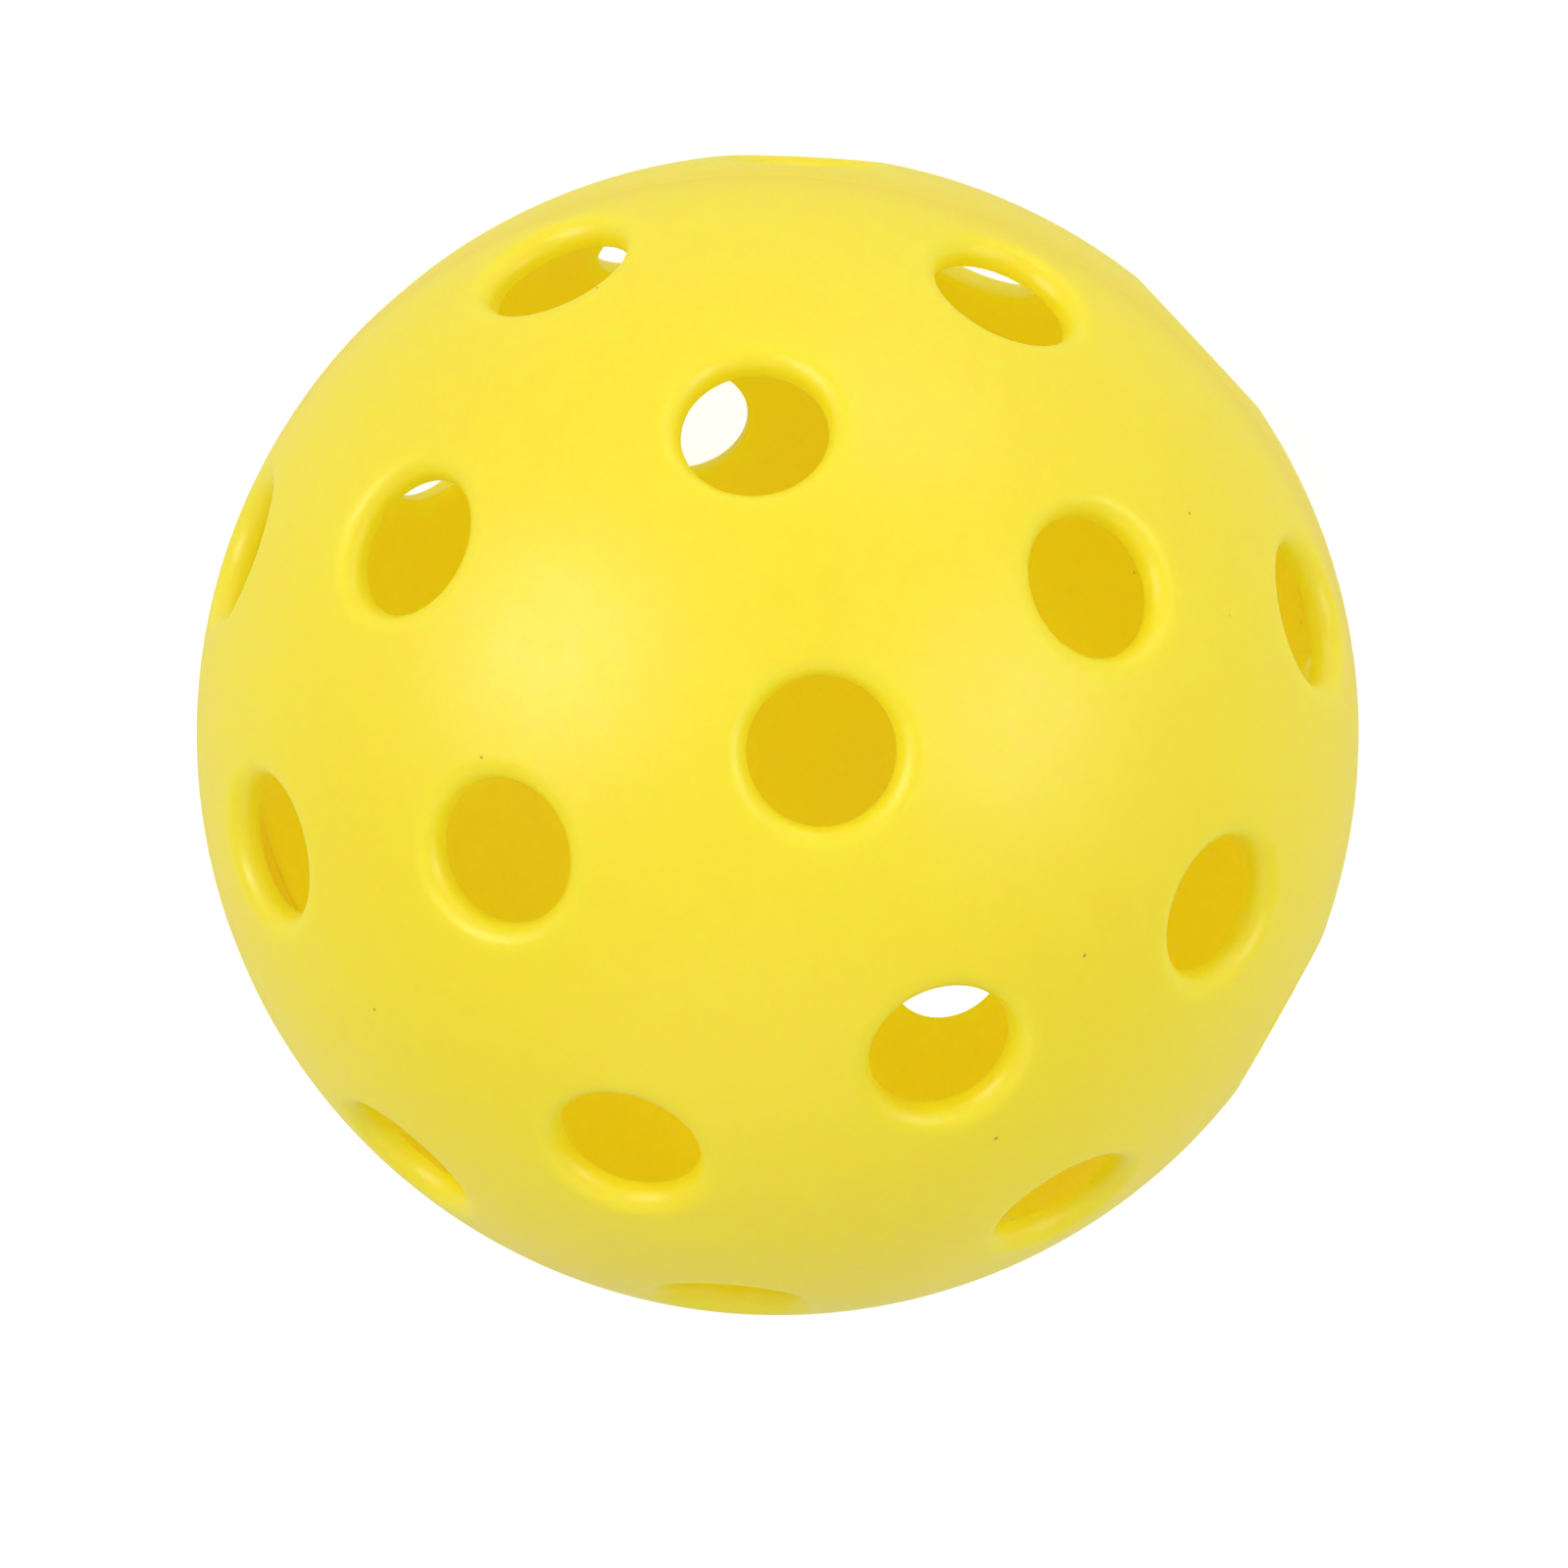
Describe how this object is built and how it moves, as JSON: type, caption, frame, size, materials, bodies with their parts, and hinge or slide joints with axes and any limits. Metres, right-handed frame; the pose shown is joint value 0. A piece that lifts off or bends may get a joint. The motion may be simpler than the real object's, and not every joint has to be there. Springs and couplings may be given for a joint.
{
  "type": "pickleball ball",
  "caption": "Hollow plastic ball with a ring pattern of round air holes in each half, for pickleball; two moulded half shells welded rim to rim.",
  "frame": {"origin": "centre of the ball", "axes": "+Z along the axis on which the hole pattern repeats every quarter turn, towards the pole of the upper half shell; the weld between the halves lies in the plane Z = 0; +X through a hole of the upper half's ring of 4"},
  "size_m": [0.074, 0.074, 0.074],
  "materials": {
    "yellow_plastic": "satin"
  },
  "bodies": {
    "root": {"upper_half_shell": "yellow_plastic", "lower_half_shell": "yellow_plastic"}
  },
  "joints": []
}
